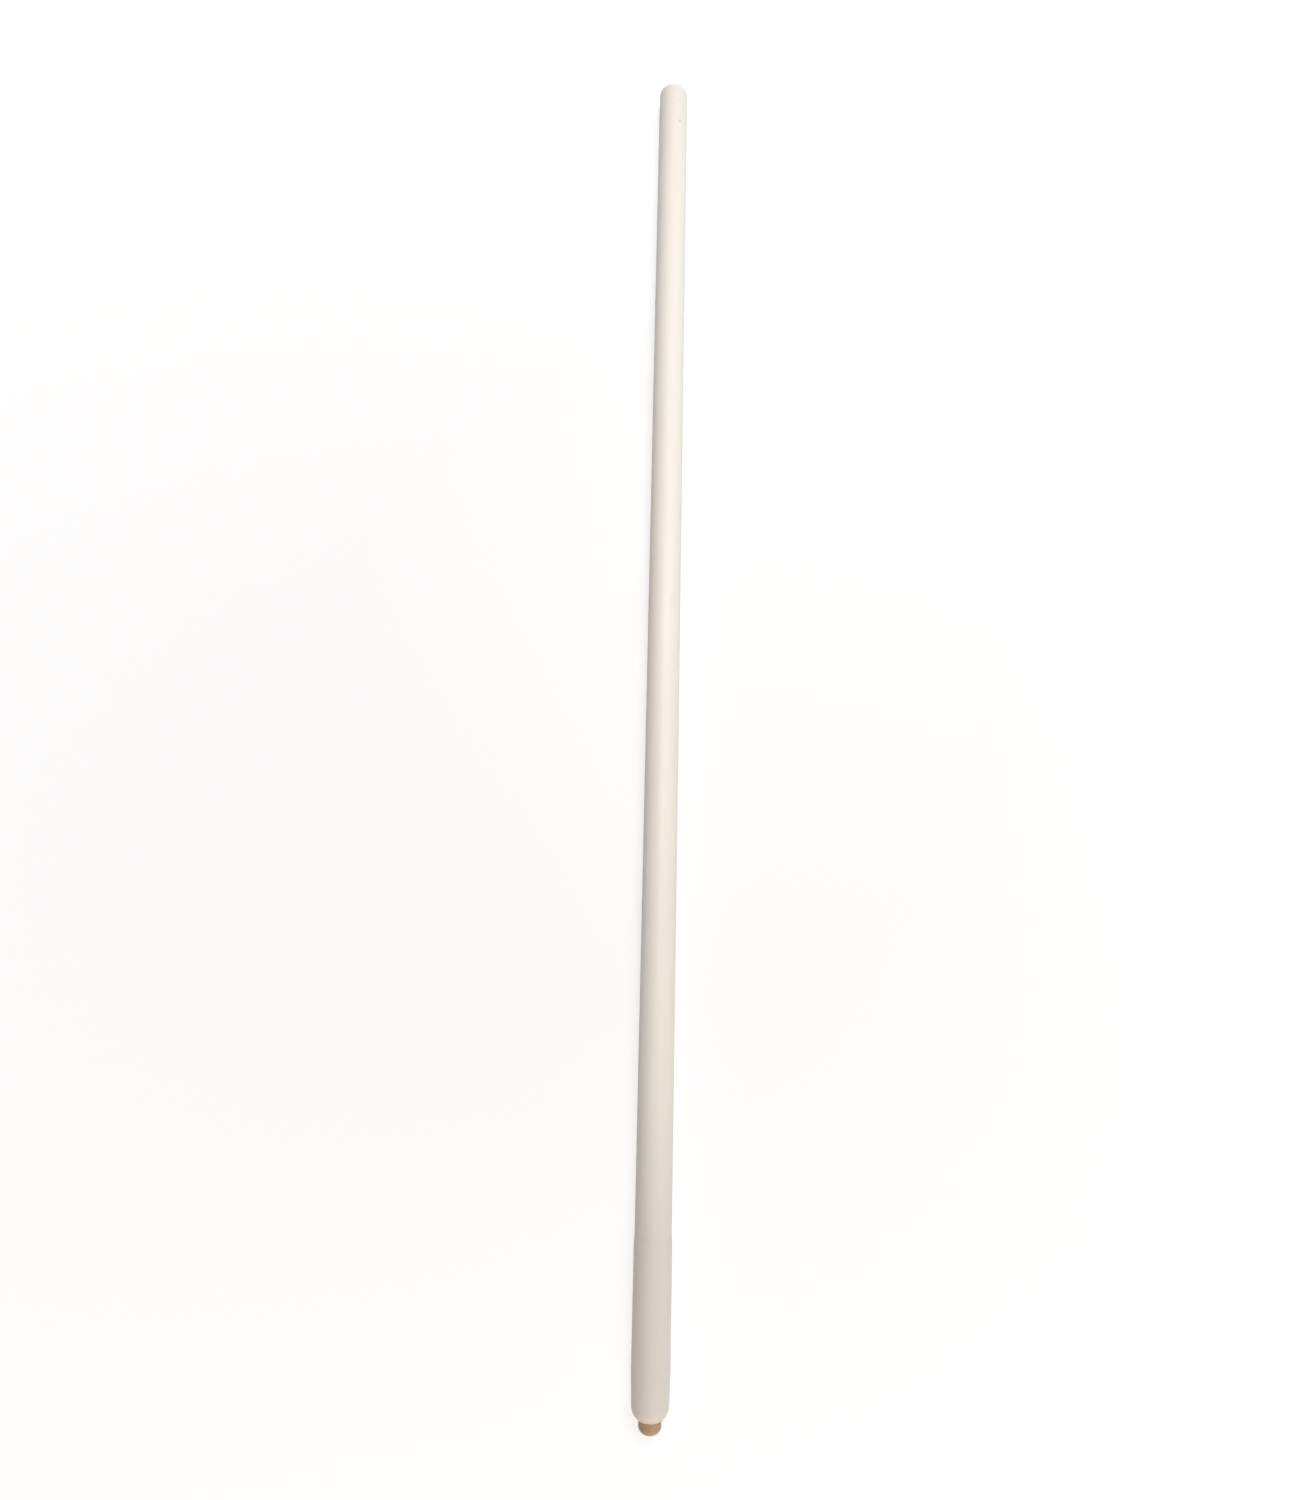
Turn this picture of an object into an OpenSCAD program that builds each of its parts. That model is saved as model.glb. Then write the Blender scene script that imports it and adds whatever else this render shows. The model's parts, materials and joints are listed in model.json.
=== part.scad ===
// Roller extension pole, 48 in long: a solid wooden dowel in a white plastic skin.
// A turned hardwood tip is glued and pinned in one end, under a second white skin.
// A moulded cap closes the other end.
//
// Frame, in millimetres: the pole lies along Y on the ground plane Z = 0.
// The tip points to -Y, the capped end to +Y, and X = 0 is the middle of the pole.

/* [Pole] */
// overall length, from the nose of the tip to the face of the end cap
pole_len = 1219; // [600:1:2400]
// diameter of the wooden core
core_d = 27.8; // [20:0.1:36]
// wall of the white skin over the whole pole
sheath_t = 0.4; // [0.2:0.05:1]

/* [Tip] */
// diameter of the smooth stub that fits a roller frame
stub_d = 17; // [12:0.1:24]
// straight length of the stub, from the shoulder to where the nose starts
stub_straight = 4.4; // [2:0.1:30]
// length of the rounded nose
nose_len = 5.9; // [2:0.1:9]
// diameter of the small flat that the lathe leaves on the end of the nose
nose_flat_d = 1; // [0.5:0.1:4]
// diameter of the tip where the rounded shoulder starts
shoulder_d = 27.2; // [20:0.1:36]
// radius of the rounded shoulder
shoulder_r = 10.5; // [6:0.1:13]
// length between the joint with the core and the shoulder
tip_body_len = 22; // [10:1:60]
// diameter of the tenon glued into the core
tenon_d = 16; // [10:0.5:20]
// length of the tenon
tenon_len = 60; // [30:1:90]

/* [Tip sleeve] */
// wall of the second skin over the tip joint
sleeve_t = 0.4; // [0.2:0.05:1]
// length of the sleeve's straight run, from its upper edge to the shoulder
sleeve_len = 112; // [80:1:200]
// length over which the sleeve's upper edge thins out
sleeve_ramp = 6; // [2:0.5:15]
// thickness left at the very edge of the sleeve
sleeve_edge = 0.12; // [0.05:0.01:0.3]
// radial gap between the sleeve's lip and the stub
lip_gap = 0.6; // [0:0.05:1]

/* [End cap] */
// diameter of the end cap
cap_d = 28.2; // [20:0.1:36]
// length of the end cap
cap_len = 18; // [10:0.5:40]
// thickness of the cap's end wall
cap_end_t = 3; // [1.5:0.5:6]
// diameter of the core's spigot inside the cap
spigot_d = 23; // [16:0.5:26]
// radius on the cap's outer edge
cap_edge_r = 2; // [0.5:0.25:4]
// chamfer on the end of the spigot and of the tenon
wood_chamfer = 1; // [0.5:0.25:2]

/* [Brads] */
// diameter of a brad's shank
brad_d = 1.6; // [1:0.1:3]
// diameter of a brad's head
brad_head_d = 3; // [2:0.1:5]
// thickness of a brad's head
brad_head_t = 0.6; // [0.3:0.05:1.2]
// length of the point
brad_point = 2; // [1:0.5:4]
// diameter of the flat on the end of the point
brad_flat_d = 0.3; // [0.2:0.1:0.8]
// distance of the first tip brad from the joint
brad_a_pos = 24; // [10:1:50]
// distance of the second tip brad from the joint
brad_b_pos = 40; // [10:1:55]
// radius at which the points of the tip brads stop
brad_in_r = 1; // [0.5:0.5:5]
// distance of the sheath brad from the capped end
sheath_brad_pos = 46; // [25:1:120]
// angle of the sheath brad from straight up, toward +X
sheath_brad_angle = 29; // [-180:1:180]
// how far the sheath brad reaches below the skin
sheath_brad_len = 14; // [8:1:20]

/* [Look] */
// white skin and cap
white_tone = "#e9e1d6";
// wood of the core
core_tone = "#d9b98c";
// hardwood of the tip
tip_tone = "#a97f58";
// steel of the brads
steel_tone = "#b9b9b6";

/* [Hidden] */
$fn = 96;
arc_steps = 24;

core_r = core_d / 2;
sheath_r = core_r + sheath_t;
sleeve_r = sheath_r + sleeve_t;
stub_r = stub_d / 2;
axis_z = sleeve_r;

// Stations along the pole, measured from the middle toward the capped end.
nose_y = -pole_len / 2;
cap_face_y = pole_len / 2;
// distance from the pole's axis to the centre of the shoulder's arc
arc_off = shoulder_d / 2 - shoulder_r;
shoulder_len = sqrt(pow(shoulder_r, 2) - pow(stub_r - arc_off, 2));
shoulder_y = nose_y + nose_len + stub_straight + shoulder_len;
joint_y = shoulder_y + tip_body_len;
tenon_y = joint_y + tenon_len;
sleeve_y = shoulder_y + sleeve_len;
cap_y = cap_face_y - cap_len;
spigot_y = cap_face_y - cap_end_t;
brad_a_y = joint_y + brad_a_pos;
brad_b_y = joint_y + brad_b_pos;
sheath_brad_y = cap_face_y - sheath_brad_pos;
lip_r = stub_r + lip_gap;
// how far a brad's tool reaches past the surface it is trimmed to
overcut = 1;

// Points of the rounded shoulder for a skin of thickness t, from its big end to radius r_end.
function shoulder_arc(t, r_end) =
    let (r = shoulder_r + t, stop = acos((r_end - arc_off) / r))
    [for (i = [0:arc_steps]) let (a = stop * i / arc_steps)
        [arc_off + r * cos(a), shoulder_y - r * sin(a)]];

// Points of the nose, from the straight stub to its flat end.
function nose_arc() =
    let (flat_r = nose_flat_d / 2)
    [for (i = [0:arc_steps]) let (a = 90 * i / arc_steps)
        [flat_r + (stub_r - flat_r) * cos(a), nose_y + nose_len * (1 - sin(a))]];

// Points of the cap's rounded edge, from its face to its side.
function cap_edge_arc() =
    [for (i = [0:arc_steps / 2]) let (a = 90 - 180 * i / arc_steps)
        [cap_d / 2 - cap_edge_r * (1 - cos(a)), cap_face_y - cap_edge_r * (1 - sin(a))]];

// Turns a profile of (radius, station) points about the pole's axis.
module turned(points) {
    translate([0, 0, axis_z]) rotate([-90, 0, 0])
        rotate_extrude() polygon(points);
}

// Puts radial things at station y, at an angle from straight up toward +X.
// Inside, +Z points outward from the pole's axis.
module radial(y, angle) {
    translate([0, y, axis_z]) rotate([0, angle, 0]) children();
}

// The hole for a brad: its head seats at r_skin - brad_head_t, its point is at r_in.
module brad_hole(r_skin, r_in) {
    seat = r_skin - brad_head_t;
    rotate_extrude() polygon([
        [0, r_in],
        [brad_flat_d / 2, r_in],
        [brad_d / 2, r_in + brad_point],
        [brad_d / 2, seat],
        [brad_head_d / 2, seat],
        [brad_head_d / 2, r_skin + overcut],
        [0, r_skin + overcut]
    ]);
}

// A brad driven in at station y until its head is flush with the round surface r_skin.
module flush_brad(y, angle, r_skin, r_in) {
    intersection() {
        radial(y, angle) brad_hole(r_skin, r_in);
        turned([
            [0, y - brad_head_d],
            [r_skin, y - brad_head_d],
            [r_skin, y + brad_head_d],
            [0, y + brad_head_d]
        ]);
    }
}

module tip_brad_holes() {
    radial(brad_a_y, 90) brad_hole(core_r, brad_in_r);
    radial(brad_b_y, -90) brad_hole(core_r, brad_in_r);
}

module sheath_brad_hole() {
    radial(sheath_brad_y, sheath_brad_angle)
        brad_hole(sheath_r, sheath_r - sheath_brad_len);
}

module pole_core() {
    color(core_tone) difference() {
        turned([
            [tenon_d / 2, joint_y],
            [core_r, joint_y],
            [core_r, cap_y],
            [spigot_d / 2, cap_y],
            [spigot_d / 2, spigot_y - wood_chamfer],
            [spigot_d / 2 - wood_chamfer, spigot_y],
            [0, spigot_y],
            [0, tenon_y],
            [tenon_d / 2 - wood_chamfer, tenon_y],
            [tenon_d / 2, tenon_y - wood_chamfer]
        ]);
        tip_brad_holes();
        sheath_brad_hole();
    }
}

module tip() {
    color(tip_tone) difference() {
        turned(concat(
            [
                [0, tenon_y],
                [tenon_d / 2 - wood_chamfer, tenon_y],
                [tenon_d / 2, tenon_y - wood_chamfer],
                [tenon_d / 2, joint_y],
                [core_r, joint_y]
            ],
            shoulder_arc(0, stub_r),
            nose_arc(),
            [[0, nose_y]]
        ));
        tip_brad_holes();
    }
}

module tip_brad_a() {
    color(steel_tone) flush_brad(brad_a_y, 90, core_r, brad_in_r);
}

module tip_brad_b() {
    color(steel_tone) flush_brad(brad_b_y, -90, core_r, brad_in_r);
}

module main_sheath() {
    color(white_tone) difference() {
        turned([
            [core_r, joint_y],
            [sheath_r, joint_y],
            [sheath_r, cap_y],
            [core_r, cap_y]
        ]);
        sheath_brad_hole();
    }
}

module tip_sleeve() {
    inner = shoulder_arc(0, lip_r);
    outer = shoulder_arc(sleeve_t, lip_r);
    color(white_tone) turned(concat(
        [
            [sheath_r, sleeve_y],
            [sheath_r, joint_y],
            [core_r, joint_y]
        ],
        inner,
        [for (i = [arc_steps:-1:0]) outer[i]],
        [
            [sleeve_r, joint_y],
            [sleeve_r, sleeve_y - sleeve_ramp],
            [sheath_r + sleeve_edge, sleeve_y]
        ]
    ));
}

module end_cap() {
    color(white_tone) turned(concat(
        [
            [0, spigot_y],
            [0, cap_face_y]
        ],
        cap_edge_arc(),
        [
            [cap_d / 2, cap_y],
            [spigot_d / 2, cap_y],
            [spigot_d / 2, spigot_y - wood_chamfer],
            [spigot_d / 2 - wood_chamfer, spigot_y]
        ]
    ));
}

module sheath_brad() {
    color(steel_tone)
        flush_brad(sheath_brad_y, sheath_brad_angle, sheath_r, sheath_r - sheath_brad_len);
}

pole_core();
tip();
tip_brad_a();
tip_brad_b();
main_sheath();
tip_sleeve();
end_cap();
sheath_brad();
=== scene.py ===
"""Roller extension pole: the visible pieces, their materials and a plain studio.

Metres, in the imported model's frame: the pole lies along Y on the floor Z = 0, its tip toward -Y.
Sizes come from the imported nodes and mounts. Angles round the pole are from straight up, toward +X.
"""

import json
import math

import bpy
from mathutils import Matrix, Vector, noise


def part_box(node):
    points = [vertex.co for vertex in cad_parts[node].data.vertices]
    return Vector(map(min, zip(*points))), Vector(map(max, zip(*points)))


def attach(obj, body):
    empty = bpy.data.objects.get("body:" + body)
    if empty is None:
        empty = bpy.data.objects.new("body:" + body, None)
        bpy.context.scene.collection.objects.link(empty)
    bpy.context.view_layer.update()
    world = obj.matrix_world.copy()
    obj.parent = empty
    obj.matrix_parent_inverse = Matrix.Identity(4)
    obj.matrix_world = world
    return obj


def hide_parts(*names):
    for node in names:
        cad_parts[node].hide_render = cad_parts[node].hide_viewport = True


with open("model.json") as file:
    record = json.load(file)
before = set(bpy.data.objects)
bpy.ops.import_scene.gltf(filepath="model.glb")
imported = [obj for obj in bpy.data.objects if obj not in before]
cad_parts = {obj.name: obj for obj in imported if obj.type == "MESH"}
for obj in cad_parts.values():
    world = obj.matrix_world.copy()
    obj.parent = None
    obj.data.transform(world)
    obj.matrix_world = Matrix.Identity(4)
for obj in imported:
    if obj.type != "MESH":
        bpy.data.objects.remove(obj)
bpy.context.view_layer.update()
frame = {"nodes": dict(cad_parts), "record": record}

MM = 0.001
TURN = 2 * math.pi

# Stations along the pole and radii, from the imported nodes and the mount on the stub.
sheath_low, sheath_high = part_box("main_sheath")
sleeve_low, sleeve_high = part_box("tip_sleeve")
tip_low, tip_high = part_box("tip")
cap_low, cap_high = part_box("end_cap")
core_low, core_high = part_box("pole_core")
nail_low, nail_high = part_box("sheath_brad")
stub = next(m for m in frame["record"]["mounts"] if m["name"] == "tip_stub")

AXIS_Z = (sheath_low.z + sheath_high.z) / 2
SHEATH_R = (sheath_high.x - sheath_low.x) / 2
SLEEVE_R = (sleeve_high.x - sleeve_low.x) / 2
CORE_R = (core_high.x - core_low.x) / 2
CAP_R = (cap_high.x - cap_low.x) / 2
STUB_R = stub["dims"]["r_mm"] * MM
STUB_LEN = stub["dims"]["length_mm"] * MM
NOSE_Y = tip_low.y
STUB_LOW_Y = stub["pos_m"][1] - STUB_LEN / 2
STUB_HIGH_Y = stub["pos_m"][1] + STUB_LEN / 2
JOINT_Y = sheath_low.y
TENON_Y = tip_high.y
SLEEVE_Y = sleeve_high.y
CAP_Y = cap_low.y
CAP_FACE_Y = cap_high.y
SPIGOT_Y = core_high.y
NAIL_Y = (nail_low.y + nail_high.y) / 2

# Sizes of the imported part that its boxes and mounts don't give.
SHOULDER_D = 27.2 * MM
SHOULDER_R = 10.5 * MM
SLEEVE_T = 0.4 * MM
SLEEVE_RAMP = 6 * MM
SLEEVE_EDGE = 0.12 * MM
LIP_GAP = 0.6 * MM
TENON_R = 8 * MM
SPIGOT_R = 11.5 * MM
WOOD_CHAMFER = 1 * MM
CAP_RIM = 2 * MM
NAIL_ANGLE = math.radians(29)
NAIL_HEAD_R = 1.5 * MM
NAIL_HEAD_T = 0.6 * MM
NAIL_SHANK_R = 0.8 * MM
NAIL_POINT = 2 * MM
NAIL_LEN = 14 * MM

# The rounded shoulder: its arc meets the stub at STUB_HIGH_Y and the body at SHOULDER_Y.
SHOULDER_OFF = SHOULDER_D / 2 - SHOULDER_R
SHOULDER_Y = STUB_HIGH_Y + math.sqrt(SHOULDER_R ** 2 - (STUB_R - SHOULDER_OFF) ** 2)

# How the meshes are made: a point this near the axis is on it, and a turn this sharp is a crease.
ON_AXIS = 1e-9
CREASE = math.radians(40)

# The length of skin over which the skin gets darker toward the tip, to its full strength at the
# sleeve.
DARKENING_LEN = 120 * MM

# Colours, as linear red, green and blue.
SHEATH_WARM = (0.790, 0.752, 0.697)
SHEATH_COOL = (0.765, 0.752, 0.692)
SLEEVE_WARM = (0.777, 0.742, 0.691)
SLEEVE_COOL = (0.755, 0.742, 0.686)
CAP_WARM = (0.785, 0.752, 0.699)
CAP_COOL = (0.763, 0.746, 0.688)
CAP_RUBBED = (0.70, 0.66, 0.60)
CAP_MARKED = (0.66, 0.62, 0.56)
FILM_PALE = (0.64, 0.61, 0.56)
FILM_DARK = (0.58, 0.55, 0.5)
BARE_STEEL = (0.34, 0.33, 0.31)
WIRE_STEEL = (0.56, 0.56, 0.55)
RUST = (0.30, 0.17, 0.08)
TIP_PALE = (0.492, 0.346, 0.218)
TIP_MIDDLE = (0.423, 0.283, 0.166)
TIP_DARK = (0.276, 0.163, 0.082)
CORE_PALE = (0.72, 0.53, 0.31)
CORE_MIDDLE = (0.66, 0.46, 0.25)
CORE_DARK = (0.50, 0.31, 0.14)
FLOOR_GREY = (0.22, 0.22, 0.22)
WHITE = (1, 1, 1)


# ---------------------------------------------------------------- mesh helpers

def on_pole(radius, y, angle):
    """The point at a radius and a station, at an angle round the pole."""
    return Vector((radius * math.sin(angle), y, AXIS_Z + radius * math.cos(angle)))


def run(start, end, step):
    """Points of a straight stretch of a (radius, station) profile, its end left out."""
    length = math.dist(start, end)
    count = max(1, round(length / step))
    return [
        (start[0] + (end[0] - start[0]) * i / count, start[1] + (end[1] - start[1]) * i / count)
        for i in range(count)
    ]


def arc(centre, size, first, last, count):
    """Points of an elliptic arc in a profile. Angle 0 is outward, and 90 degrees is toward +Y."""
    points = []
    for i in range(count + 1):
        a = math.radians(first + (last - first) * i / count)
        points.append((centre[0] + size[0] * math.cos(a), centre[1] + size[1] * math.sin(a)))
    return points


def ease(t):
    """A smooth curve from 0 to 1 as t goes from 0 to 1."""
    return t * t * (3 - 2 * t)


def fade(value, start, end):
    """A smooth step from 0 at start to 1 at end."""
    return ease(max(0.0, min(1.0, (value - start) / (end - start))))


def ripple(y, angle, across, along, seed):
    """Smooth noise from 0 to 1 over the pole's surface, with features of these sizes."""
    contrast = 1.4
    reach = SHEATH_R / across
    where = Vector((reach * math.sin(angle) + seed, y / along, reach * math.cos(angle)))
    return 0.5 + 0.5 * max(-1.0, min(1.0, noise.noise(where) * contrast))


def lathe(profile, segments, point_at, closed=False):
    """The points and faces of a shape that turns a profile of (radius, station) about its axis.

    point_at(radius, station, angle, index) gives a point. A closed profile is a tube's, and an
    open one starts and ends on the axis. Faces are outward when the outside is listed from its
    low end to its high end.
    """
    verts, rings = [], []
    for index, (radius, y) in enumerate(profile):
        if radius < ON_AXIS:
            rings.append([len(verts)] * segments)
            verts.append(point_at(0, y, 0, index))
        else:
            rings.append(range(len(verts), len(verts) + segments))
            verts += [point_at(radius, y, TURN * i / segments, index) for i in range(segments)]
    pairs = list(zip(rings, rings[1:]))
    if closed:
        pairs.append((rings[-1], rings[0]))
    faces = []
    for low, high in pairs:
        for i in range(segments):
            j = (i + 1) % segments
            faces.append(list(dict.fromkeys([low[i], low[j], high[j], high[i]])))
    return verts, faces


def new_object(name, verts, faces):
    """A smooth-shaded mesh object with sharp edges at its creases."""
    mesh = bpy.data.meshes.new(name)
    mesh.from_pydata(verts, [], faces)
    mesh.polygons.foreach_set("use_smooth", [True] * len(mesh.polygons))
    mesh.set_sharp_from_angle(angle=CREASE)
    mesh.validate()
    obj = bpy.data.objects.new(name, mesh)
    bpy.context.scene.collection.objects.link(obj)
    return obj


def turned(name, profile, segments, shape, closed=False):
    """A mesh that turns a profile of (radius, station) about the pole's axis.

    shape(radius, station, angle, index) gives the radius at which a point off the axis is put.
    """
    def point_at(radius, y, angle, index):
        if radius > 0:
            radius = shape(radius, y, angle, index)
        return on_pole(radius, y, angle)

    return new_object(name, *lathe(profile, segments, point_at, closed))


def place(obj, nodes, material):
    """Puts a finished piece on the pole in place of CAD nodes."""
    obj.data.materials.append(material)
    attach(obj, "root")
    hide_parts(*nodes)


# ---------------------------------------------------------------- material helpers

def darker(colour, share):
    """The given share of a colour."""
    return tuple(c * share for c in colour)


class Paint:
    """Builds one procedural material, node by node."""

    def __init__(self, name):
        self.material = bpy.data.materials.new(name)
        self.material.use_nodes = True
        self.tree = self.material.node_tree
        self.shader = self.tree.nodes["Principled BSDF"]
        self.coords = self.tree.nodes.new("ShaderNodeTexCoord").outputs["Object"]

    def link(self, source, target):
        """Joins an output to an input."""
        self.tree.links.new(source, target)

    def mapped(self, scale, location=(0, 0, 0)):
        """The object's own coordinates, scaled by axis and then moved."""
        node = self.tree.nodes.new("ShaderNodeMapping")
        node.inputs["Scale"].default_value = scale
        node.inputs["Location"].default_value = location
        self.link(self.coords, node.inputs["Vector"])
        return node.outputs["Vector"]

    def station(self):
        """How far along the pole a point is."""
        node = self.tree.nodes.new("ShaderNodeSeparateXYZ")
        self.link(self.coords, node.inputs["Vector"])
        return node.outputs["Y"]

    def noise(self, scale, detail=3.0, rough=0.5, coords=None):
        """Noise with about this many features in a metre."""
        node = self.tree.nodes.new("ShaderNodeTexNoise")
        node.inputs["Scale"].default_value = scale
        node.inputs["Detail"].default_value = detail
        node.inputs["Roughness"].default_value = rough
        self.link(coords or self.coords, node.inputs["Vector"])
        return node.outputs["Fac"]

    def streaks(self, across, along, detail=3.0, rough=0.5):
        """Noise with so many features in a metre across the pole, and so many along it."""
        return self.noise(1, detail, rough, self.mapped((across, along, across)))

    def spread(self, value, low, high, to_low=0.0, to_high=1.0):
        """Maps a value's range low..high to another range, held at its ends."""
        node = self.tree.nodes.new("ShaderNodeMapRange")
        ends = {"From Min": low, "From Max": high, "To Min": to_low, "To Max": to_high}
        for name, number in ends.items():
            node.inputs[name].default_value = number
        self.link(value, node.inputs["Value"])
        return node.outputs["Result"]

    def math(self, operation, a, b):
        """An operation on two values, each a number or an output."""
        node = self.tree.nodes.new("ShaderNodeMath")
        node.operation = operation
        for value, socket in zip((a, b), node.inputs):
            if isinstance(value, (int, float)):
                socket.default_value = value
            else:
                self.link(value, socket)
        return node.outputs["Value"]

    def mix(self, factor, a, b, strength=1.0):
        """A colour between a and b, each a colour or an output, as far as strength toward b."""
        if strength < 1:
            factor = self.math("MULTIPLY", factor, strength)
        node = self.tree.nodes.new("ShaderNodeMix")
        node.data_type = "RGBA"
        self.link(factor, node.inputs["Factor"])
        inputs = [s for s in node.inputs if s.type == "RGBA"]
        for value, socket in zip((a, b), inputs):
            if isinstance(value, tuple):
                socket.default_value = (*value, 1.0)
            else:
                self.link(value, socket)
        return next(s for s in node.outputs if s.type == "RGBA")

    def bump(self, height, depth, under=None):
        """A bump of this depth in metres, over another bump."""
        node = self.tree.nodes.new("ShaderNodeBump")
        node.inputs["Strength"].default_value = 1.0
        node.inputs["Distance"].default_value = depth
        self.link(height, node.inputs["Height"])
        if under is not None:
            self.link(under, node.inputs["Normal"])
        return node.outputs["Normal"]

    def finish(self, colour, roughness, normal):
        """Links the three maps to the shader, and gives back the material."""
        self.link(colour, self.shader.inputs["Base Color"])
        self.link(roughness, self.shader.inputs["Roughness"])
        self.link(normal, self.shader.inputs["Normal"])
        return self.material


def skin_material(name, warm, cool, gloss, grain_depth):
    """Thin white plastic skin: soft sheen, the wood's grain through it, rubbed marks, and a darkening
    toward the tip.
    """
    p = Paint(name)
    hairline_depth, peel_depth = grain_depth * 0.6, 0.02 * MM
    broad = p.noise(7, detail=2)
    lines = p.streaks(across=620, along=9, detail=4)
    hairlines = p.streaks(across=2300, along=36, detail=3, rough=0.6)
    peel = p.noise(900, detail=2)
    rubbed = p.spread(p.streaks(across=260, along=38, detail=5, rough=0.65), 0.62, 0.78)
    patch = p.spread(p.noise(16, detail=2), 0.45, 0.62)
    scuffs = p.math("MULTIPLY", rubbed, patch)
    # Darker toward the tip: the colour darkens along the pole up to the sleeve, and is at full
    # strength over the whole sleeve.
    toward_tip = p.spread(p.station(), SLEEVE_Y, SLEEVE_Y + DARKENING_LEN, to_low=1, to_high=0)
    tip_darkening = p.math("MULTIPLY", toward_tip, p.spread(broad, 0.3, 0.7, to_low=0.42, to_high=0.52))

    tint = p.mix(p.spread(broad, 0.35, 0.65), warm, cool)
    lined = p.mix(p.spread(lines, 0.3, 0.75, to_high=0.6), tint, darker(warm, 0.94))
    fine = p.mix(p.spread(hairlines, 0.55, 0.75, to_high=0.5), lined, darker(cool, 0.88))
    held = p.mix(tip_darkening, fine, darker(warm, 0.80))
    colour = p.mix(scuffs, held, darker(cool, 0.78), strength=0.5)

    sheen = p.spread(p.noise(60, detail=3), 0.3, 0.7, to_low=gloss, to_high=gloss + 0.09)
    rough = p.math("ADD", sheen, p.math("MULTIPLY", scuffs, 0.15))
    grained = p.bump(hairlines, hairline_depth, under=p.bump(lines, grain_depth))
    p.shader.inputs["IOR"].default_value = 1.5
    p.shader.inputs["Specular IOR Level"].default_value = 0.3
    return p.finish(colour, rough, p.bump(peel, peel_depth, under=grained))


def cap_material():
    """Moulded white plastic: a fine sparked texture, with its rim rubbed smooth."""
    p = Paint("cap_plastic")
    spark = p.noise(2600, detail=2)
    marks = p.spread(p.streaks(across=420, along=240, detail=5, rough=0.7), 0.6, 0.74)
    geometry = p.tree.nodes.new("ShaderNodeNewGeometry")
    rim = p.spread(geometry.outputs["Pointiness"], 0.505, 0.56)

    tint = p.mix(p.spread(p.noise(40, detail=2), 0.35, 0.65), CAP_WARM, CAP_COOL)
    worn = p.mix(rim, tint, CAP_RUBBED, strength=0.5)
    colour = p.mix(marks, worn, CAP_MARKED, strength=0.3)
    matt = p.spread(spark, 0.3, 0.7, to_low=0.46, to_high=0.56)
    rough = p.math("SUBTRACT", matt, p.math("MULTIPLY", rim, 0.12))
    return p.finish(colour, rough, p.bump(spark, 0.02 * MM))


def wood_material(name, pale, middle, dark, ring_gap, heart, gloss):
    """Wood with its grain along the pole: growth rings about its heart, fibres and pores."""
    p = Paint(name)
    gap_at_scale_1 = 0.314
    long_in_grain = (1, 0.04, 1)
    rings = p.tree.nodes.new("ShaderNodeTexWave")
    rings.wave_type = "RINGS"
    rings.rings_direction = "Y"
    rings.wave_profile = "SAW"
    rings.inputs["Scale"].default_value = gap_at_scale_1 / ring_gap
    rings.inputs["Distortion"].default_value = 1.6
    rings.inputs["Detail"].default_value = 3
    rings.inputs["Detail Scale"].default_value = 1.5
    p.link(p.mapped(long_in_grain, heart), rings.inputs["Vector"])
    late = p.spread(rings.outputs["Fac"], 0.35, 1.0)
    fibres = p.streaks(across=2400, along=70, detail=5, rough=0.6)
    pores = p.spread(p.streaks(across=5200, along=420, detail=2), 0.62, 0.7)

    ground = p.mix(p.spread(p.noise(30, detail=2), 0.3, 0.7), pale, middle)
    ringed = p.mix(late, ground, dark, strength=0.55)
    fibred = p.mix(p.spread(fibres, 0.35, 0.75, to_high=0.5), ringed, middle)
    colour = p.mix(pores, fibred, darker(dark, 0.55), strength=0.6)
    rough = p.spread(fibres, 0.3, 0.7, to_low=gloss, to_high=gloss + 0.16)
    height = p.math("SUBTRACT", fibres, p.math("MULTIPLY", pores, 0.8))
    return p.finish(colour, rough, p.bump(height, 0.05 * MM))


def wire_material(name):
    """Drawn wire steel, dulled, with fine scratches and a little rust."""
    p = Paint(name)
    scratches = p.noise(1, detail=3, coords=p.mapped((3000, 3000, 260)))
    stain = p.spread(p.noise(700, detail=4), 0.5, 0.72)
    tone = p.mix(p.spread(scratches, 0.3, 0.7), WIRE_STEEL, darker(WIRE_STEEL, 0.8))
    stained = p.mix(stain, tone, RUST, strength=0.35)
    rough = p.spread(scratches, 0.3, 0.7, to_low=0.34, to_high=0.52)
    p.shader.inputs["Metallic"].default_value = 1.0
    return p.finish(stained, rough, p.bump(scratches, 0.02 * MM))


def nail_material():
    """The sheath nail's head: steel under a dulled film of the skin's white."""
    p = Paint("nail_head")
    wear = p.spread(p.noise(1500, detail=4, rough=0.6), 0.56, 0.68)
    film = p.mix(p.noise(500, detail=2), FILM_PALE, FILM_DARK)
    colour = p.mix(wear, film, BARE_STEEL, strength=0.6)
    rough = p.spread(wear, 0.0, 1.0, to_low=0.55, to_high=0.38)
    return p.finish(colour, rough, p.bump(wear, 0.03 * MM))


# ---------------------------------------------------------------- pieces

def nail_distance(y, angle):
    """How far a point of the skin is from the middle of the sheath nail's head."""
    across = SHEATH_R * math.remainder(angle - NAIL_ANGLE, TURN)
    return math.hypot(across, y - NAIL_Y)


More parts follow.
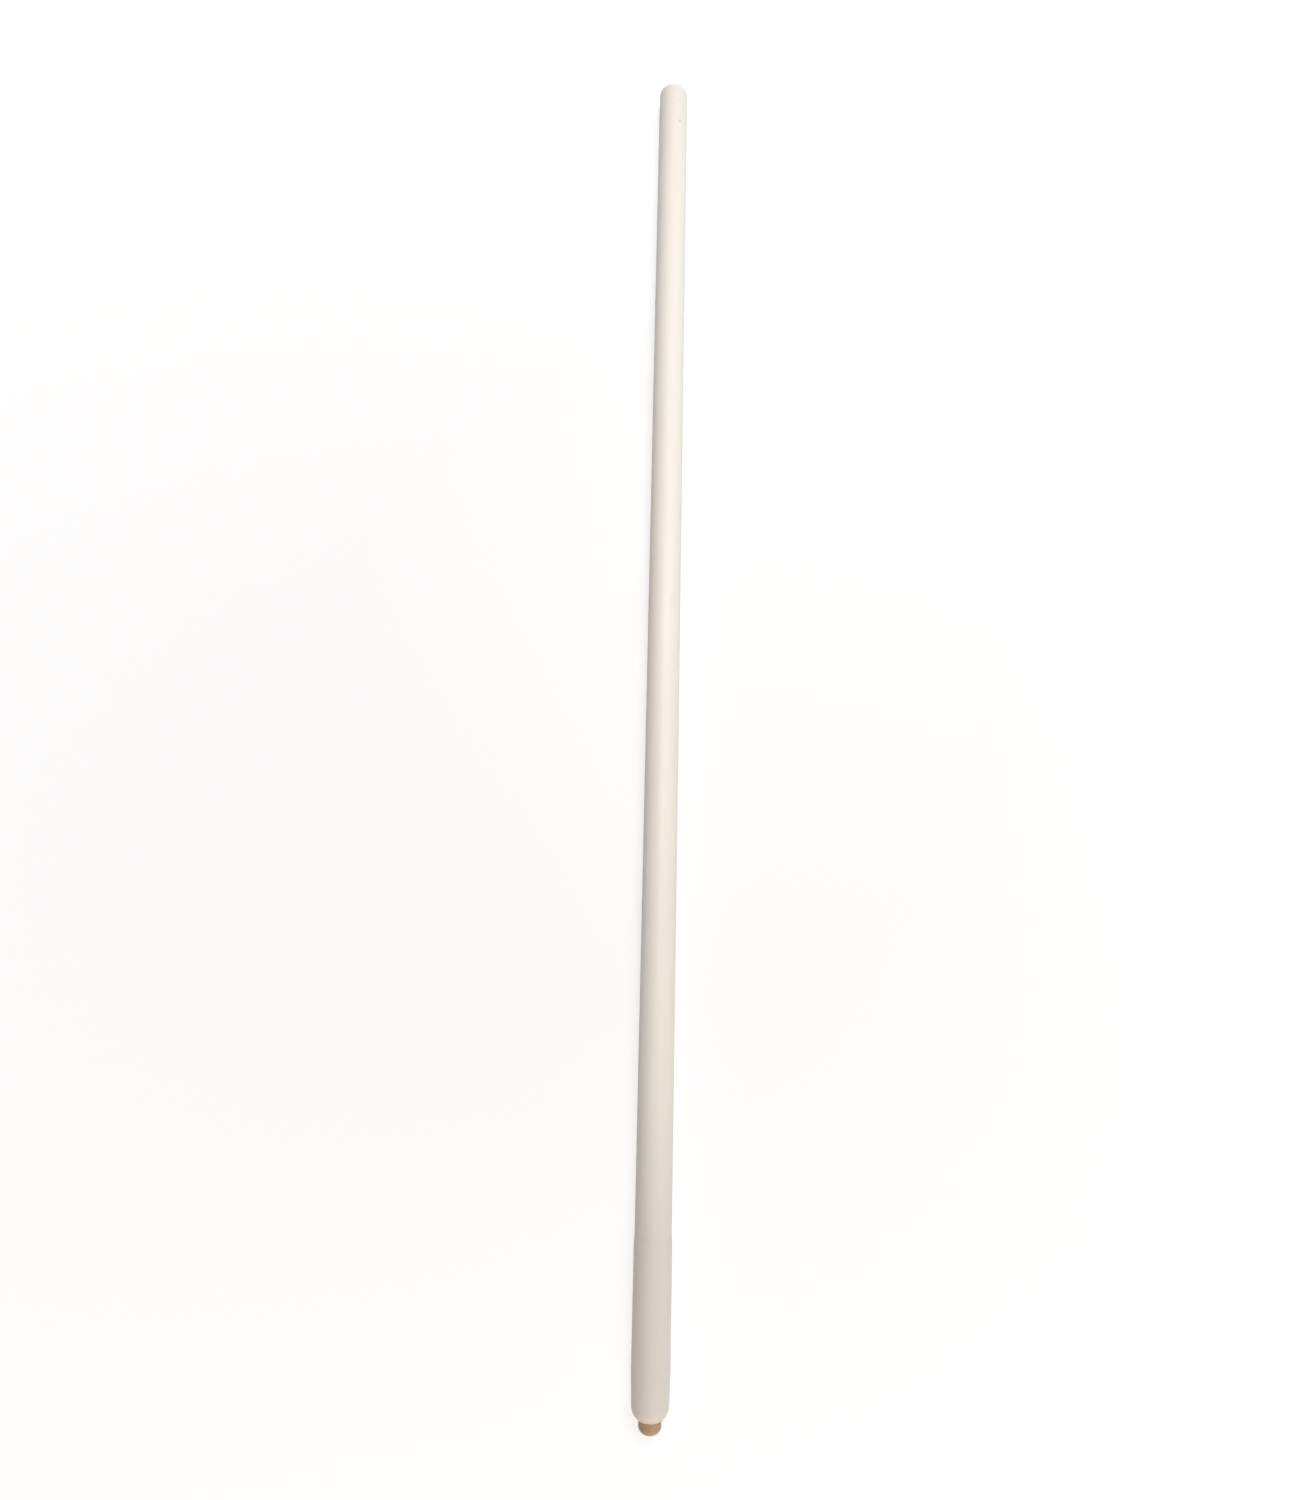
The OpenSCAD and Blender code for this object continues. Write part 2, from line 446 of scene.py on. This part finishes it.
def make_sheath():
    """The long white skin, drawn tight over the wood, dimpled where its nail is set."""
    rough_step, fine_step, fine_half = 8 * MM, 0.4 * MM, 5 * MM
    roll = 0.15 * MM
    swell_depth, ripple_depth = 0.07 * MM, 0.03 * MM
    seat_depth, dimple_depth = 0.24 * MM, 0.05 * MM
    out, inner = SHEATH_R, CORE_R
    profile = [(inner, CAP_Y), (inner, JOINT_Y), (out, JOINT_Y)]
    profile += run((out, JOINT_Y + rough_step), (out, NAIL_Y - fine_half), rough_step)
    profile += run((out, NAIL_Y - fine_half), (out, NAIL_Y + fine_half), fine_step)
    profile += run((out, NAIL_Y + fine_half), (out, CAP_Y - roll), rough_step)
    profile += arc((out - roll, CAP_Y - roll), (roll, roll), 0, 90, 3)

    def shape(radius, y, angle, index):
        if radius < out - roll / 2:
            return radius
        calm = fade(y, JOINT_Y, JOINT_Y + rough_step)
        radius -= swell_depth * calm * ripple(y, angle, across=9 * MM, along=90 * MM, seed=3.1)
        radius -= ripple_depth * calm * ripple(y, angle, across=3 * MM, along=24 * MM, seed=11.7)
        away = nail_distance(y, angle)
        seat = 1 - fade(away, NAIL_HEAD_R * 0.9, NAIL_HEAD_R * 1.25)
        dimple = 1 - fade(away, NAIL_HEAD_R, NAIL_HEAD_R * 3)
        return radius - seat_depth * seat - dimple_depth * dimple

    obj = turned("sheath_skin", profile, 224, shape, closed=True)
    skin = skin_material("white_skin", SHEATH_WARM, SHEATH_COOL, gloss=0.46, grain_depth=0.045 * MM)
    place(obj, ["main_sheath"], skin)


def make_sleeve():
    """The second skin over the tip joint, drawn in over the shoulder to a hand-cut lip."""
    step, shoulder_step, ramp_steps = 4 * MM, 2 * MM, 8
    cut_depth, fold_depth, swell_depth = 0.22 * MM, 0.13 * MM, 0.06 * MM
    lip_r = STUB_R + LIP_GAP
    centre = (SHOULDER_OFF, SHOULDER_Y)
    inner_r, outer_r = SHOULDER_R, SHOULDER_R + SLEEVE_T
    inner_stop = -math.degrees(math.acos((lip_r - SHOULDER_OFF) / inner_r))
    outer_stop = -math.degrees(math.acos((lip_r - SHOULDER_OFF) / outer_r))
    profile = [(SHEATH_R, SLEEVE_Y), (SHEATH_R, JOINT_Y), (CORE_R, JOINT_Y)]
    profile += arc(centre, (inner_r, inner_r), 0, inner_stop, 20)
    first_outer = len(profile)
    profile += arc(centre, (outer_r, outer_r), outer_stop, 0, 40)
    profile += run(profile[-1], (SLEEVE_R, JOINT_Y), shoulder_step)[1:]
    profile += run((SLEEVE_R, JOINT_Y), (SLEEVE_R, SLEEVE_Y - SLEEVE_RAMP), step)
    for i in range(ramp_steps + 1):
        t = i / ramp_steps
        thick = SLEEVE_T - (SLEEVE_T - SLEEVE_EDGE) * ease(t)
        profile.append((SHEATH_R + thick, SLEEVE_Y - SLEEVE_RAMP * (1 - t)))

    def shoulder_at(share):
        """The station this share of the way down the rounded shoulder."""
        return SHOULDER_Y - outer_r * share

    def shape(radius, y, angle, index):
        cut = cut_depth * (ripple(0, angle, across=4 * MM, along=1, seed=5.3) - 0.5)
        near_lip = 1 - fade(y, shoulder_at(1), shoulder_at(0.86))
        if index >= first_outer:
            wander = 2.2 * math.sin(2 * angle) + 1.3 * math.sin(5 * angle)
            folds = 0.5 + 0.5 * math.sin(17 * angle + wander)
            pucker = 1 - fade(y, shoulder_at(0.95), shoulder_at(0.25))
            flat_end = fade(y, SLEEVE_Y - 2 * SLEEVE_RAMP, SLEEVE_Y)
            soft = fade(y, SHOULDER_Y, JOINT_Y) * (1 - flat_end)
            radius -= fold_depth * folds * pucker
            radius -= swell_depth * soft * ripple(y, angle, across=7 * MM, along=40 * MM, seed=8.9)
        return radius + cut * near_lip * 0.5

    obj = turned("sleeve_skin", profile, 240, shape, closed=True)
    skin = skin_material("sleeve_white", SLEEVE_WARM, SLEEVE_COOL, gloss=0.44, grain_depth=0.035 * MM)
    place(obj, ["tip_sleeve"], skin)


def make_tip():
    """The turned hardwood tip: nose, stub with tool marks, rounded shoulder, body and tenon."""
    mark_gap, mark_depth, ring_step = 0.55 * MM, 0.03 * MM, 0.11 * MM
    fuzz_depth, marks_end = 0.02 * MM, STUB_HIGH_Y + 0.5 * MM
    dimple_r, dimple_depth = 1.1 * MM, 0.5 * MM
    nose_len = STUB_LOW_Y - NOSE_Y
    shoulder_stop = -math.degrees(math.acos((STUB_R - SHOULDER_OFF) / SHOULDER_R))
    nose_stop = -math.degrees(math.acos(dimple_r / STUB_R))
    profile = [(0, TENON_Y), (TENON_R - WOOD_CHAMFER, TENON_Y), (TENON_R, TENON_Y - WOOD_CHAMFER)]
    profile += [(TENON_R, JOINT_Y), (CORE_R, JOINT_Y)]
    profile += arc((SHOULDER_OFF, SHOULDER_Y), (SHOULDER_R, SHOULDER_R), 0, shoulder_stop, 40)[:-1]
    profile += run((STUB_R, STUB_HIGH_Y), (STUB_R, STUB_LOW_Y), ring_step)
    profile += arc((0, STUB_LOW_Y), (STUB_R, nose_len), 0, nose_stop, 56)
    rim_y = profile[-1][1]
    for r_share, depth_share in ((0.7, 0.35), (0.35, 0.75), (0, 1)):
        profile.append((dimple_r * r_share, rim_y + dimple_depth * depth_share))
    # Listed from the tenon down to the nose so far, and turned round so that faces are outward.
    profile.reverse()

    def shape(radius, y, angle, index):
        if y > marks_end or radius < dimple_r:
            return radius
        feed = 0.5 + 0.5 * math.sin(TURN * y / mark_gap + angle)
        bite = 0.5 + 0.5 * ripple(y, angle, across=6 * MM, along=3 * MM, seed=2.2)
        fuzz = ripple(y, angle, across=0.7 * MM, along=5 * MM, seed=9.4)
        return radius - mark_depth * feed * bite - fuzz_depth * fuzz

    obj = turned("tip_wood", profile, 192, shape)
    wood = wood_material("tip_hardwood", TIP_PALE, TIP_MIDDLE, TIP_DARK,
                         ring_gap=1.9 * MM, heart=(-0.021, 0, -0.052), gloss=0.45)
    place(obj, ["tip"], wood)


def make_cap():
    """The moulded end cap, with a soft rim, a slightly dished face and a gate mark."""
    lead, side_step, face_step = 0.25 * MM, 2 * MM, 1.5 * MM
    dish_depth, dish_slope, dish_steps = 0.25 * MM, 1.2 * MM, 8
    gate_r, gate_h, gate_round = 1.3 * MM, 0.15 * MM, 0.1 * MM
    swell_depth, side_only = 0.03 * MM, 0.1 * MM
    flat_r = CAP_R - CAP_RIM
    dish_r = flat_r - dish_slope
    floor_y = CAP_FACE_Y - dish_depth
    profile = [(0, SPIGOT_Y), (SPIGOT_R - WOOD_CHAMFER, SPIGOT_Y), (SPIGOT_R, SPIGOT_Y - WOOD_CHAMFER)]
    profile += [(SPIGOT_R, CAP_Y)]
    profile += arc((CAP_R - lead, CAP_Y + lead), (lead, lead), -90, 0, 4)
    profile += run((CAP_R, CAP_Y + lead), (CAP_R, CAP_FACE_Y - CAP_RIM), side_step)[1:]
    profile += arc((flat_r, CAP_FACE_Y - CAP_RIM), (CAP_RIM, CAP_RIM), 0, 90, 14)
    for i in range(1, dish_steps + 1):
        t = i / dish_steps
        profile.append((flat_r - dish_slope * t, CAP_FACE_Y - dish_depth * ease(t)))
    profile += run((dish_r, floor_y), (gate_r + 2 * gate_round, floor_y), face_step)[1:]
    profile += [(gate_r + gate_round, floor_y), (gate_r, floor_y + gate_h * 0.5)]
    profile += [(gate_r - gate_round, floor_y + gate_h), (gate_r * 0.5, floor_y + gate_h * 0.9)]
    profile += [(0, floor_y + gate_h * 0.7)]

    def shape(radius, y, angle, index):
        if radius < CAP_R - side_only:
            return radius
        return radius - swell_depth * ripple(y, angle, across=8 * MM, along=12 * MM, seed=6.6)

    obj = turned("cap_shell", profile, 192, shape)
    place(obj, ["end_cap"], cap_material())


def make_nail():
    """The nail that pins the skin: a thin domed head, a straight shank and a point."""
    dome, dome_steps, sunk = 0.12 * MM, 8, 0.01 * MM
    top = SHEATH_R - sunk
    edge_r = NAIL_HEAD_R * 0.97
    seat = top - NAIL_HEAD_T
    profile = [(0, top - NAIL_LEN), (NAIL_SHANK_R, top - NAIL_LEN + NAIL_POINT), (NAIL_SHANK_R, seat)]
    profile += [(NAIL_HEAD_R * 0.9, seat), (edge_r, top - NAIL_HEAD_T * 0.6)]
    profile += arc((0, top - dome * 1.2), (edge_r, dome), 0, 90, dome_steps)
    turn = Matrix.Translation((0, NAIL_Y, AXIS_Z)) @ Matrix.Rotation(NAIL_ANGLE, 4, "Y")

    def point_at(radius, height, angle, index):
        return turn @ Vector((radius * math.cos(angle), radius * math.sin(angle), height))

    obj = new_object("sheath_nail", *lathe(profile, 48, point_at))
    place(obj, ["sheath_brad"], nail_material())


def repaint(node, material):
    """Gives a CAD node that stays in view its own material in every slot."""
    obj = frame["nodes"][node]
    if not obj.material_slots:
        obj.data.materials.append(material)
    for slot in obj.material_slots:
        slot.material = material


def repaint_hidden_nodes():
    """The wooden core and the two brads in the tip joint keep their CAD shapes."""
    wood = wood_material("core_softwood", CORE_PALE, CORE_MIDDLE, CORE_DARK,
                         ring_gap=2.6 * MM, heart=(0.013, 0, -0.041), gloss=0.6)
    repaint("pole_core", wood)
    for brad in ("tip_brad_a", "tip_brad_b"):
        repaint(brad, wire_material(brad + "_steel"))


# ---------------------------------------------------------------- studio

def make_floor():
    """A wide pale floor, lit from within as a light table is, and more so away from the pole."""
    half = 12
    near, far = 0.3, 1.6
    near_glow, far_glow = 0.74, 0.97
    corners = [(-half, -half, 0), (half, -half, 0), (half, half, 0), (-half, half, 0)]
    floor = new_object("floor", corners, [(0, 1, 2, 3)])
    p = Paint("floor_pale")
    p.shader.inputs["Base Color"].default_value = (*FLOOR_GREY, 1)
    p.shader.inputs["Roughness"].default_value = 0.9
    p.shader.inputs["Specular IOR Level"].default_value = 0.2
    p.shader.inputs["Emission Color"].default_value = (*WHITE, 1)
    away = p.tree.nodes.new("ShaderNodeVectorMath")
    away.operation = "LENGTH"
    p.link(p.coords, away.inputs[0])
    glow = p.spread(away.outputs["Value"], near, far, near_glow, far_glow)
    p.link(glow, p.shader.inputs["Emission Strength"])
    floor.data.materials.append(p.material)


def area_light(name, spot, aim, size, power, colour):
    """A rectangular light at a spot, turned toward its aim."""
    data = bpy.data.lights.new(name, "AREA")
    data.shape = "RECTANGLE"
    data.size, data.size_y = size
    data.energy = power
    data.color = colour
    lamp = bpy.data.objects.new(name, data)
    lamp.location = spot
    lamp.rotation_euler = (Vector(aim) - Vector(spot)).to_track_quat("-Z", "Y").to_euler()
    bpy.context.scene.collection.objects.link(lamp)


def make_lights():
    """A soft key overhead, a faint cool light on the right, and a low warm one beyond the tip."""
    area_light("key", spot=(0.35, 0.45, 1.8), aim=(0, 0.2, 0), size=(1.1, 1.1),
               power=42.8, colour=(1, 0.92, 0.9))
    area_light("right", spot=(1.2, 0.6, 1.4), aim=(0, 0.3, 0), size=(1.1, 1.1),
               power=4.3, colour=(0.5, 1, 1))
    area_light("near", spot=(0.10, -1.35, 0.25), aim=(0, -0.5, 0), size=(1.0, 0.4),
               power=5.0, colour=(1, 0.82, 0.66))


def make_world():
    """A backdrop that is pale where it is seen, and lights the scene only faintly."""
    lighting, seen = 0.02, 0.97
    world = bpy.data.worlds.new("studio")
    world.use_nodes = True
    tree = world.node_tree
    background = tree.nodes["Background"].inputs
    background["Color"].default_value = (*WHITE, 1)
    rays = tree.nodes.new("ShaderNodeLightPath")
    strength = tree.nodes.new("ShaderNodeMapRange")
    strength.inputs["To Min"].default_value = lighting
    strength.inputs["To Max"].default_value = seen
    tree.links.new(rays.outputs["Is Camera Ray"], strength.inputs["Value"])
    tree.links.new(strength.outputs["Result"], background["Strength"])
    bpy.context.scene.world = world


def make_camera():
    """A hand-held wide view from above the tip's half of the pole, looking almost straight down."""
    tilt, roll = math.radians(13.6), math.radians(-1.21)
    eye = (-0.0102, -0.2787, 0.7699)
    forward = Vector((0, math.sin(tilt), -math.cos(tilt)))
    up = Vector((0, math.cos(tilt), math.sin(tilt)))
    right = Vector((1, 0, 0))
    rolled_up = up * math.cos(roll) + right * math.sin(roll)
    rolled_right = right * math.cos(roll) - up * math.sin(roll)
    data = bpy.data.cameras.new("camera")
    data.sensor_width = 36
    data.lens = 21.6
    data.clip_start, data.clip_end = 0.01, 100
    camera = bpy.data.objects.new("camera", data)
    turn = Matrix((rolled_right, rolled_up, -forward)).transposed().to_4x4()
    camera.matrix_world = Matrix.Translation(eye) @ turn
    bpy.context.scene.collection.objects.link(camera)
    bpy.context.scene.camera = camera


make_sheath()
make_sleeve()
make_tip()
make_cap()
make_nail()
repaint_hidden_nodes()
make_floor()
make_lights()
make_world()
make_camera()
bpy.context.scene.view_settings.view_transform = "Standard"
bpy.context.scene.view_settings.look = "None"
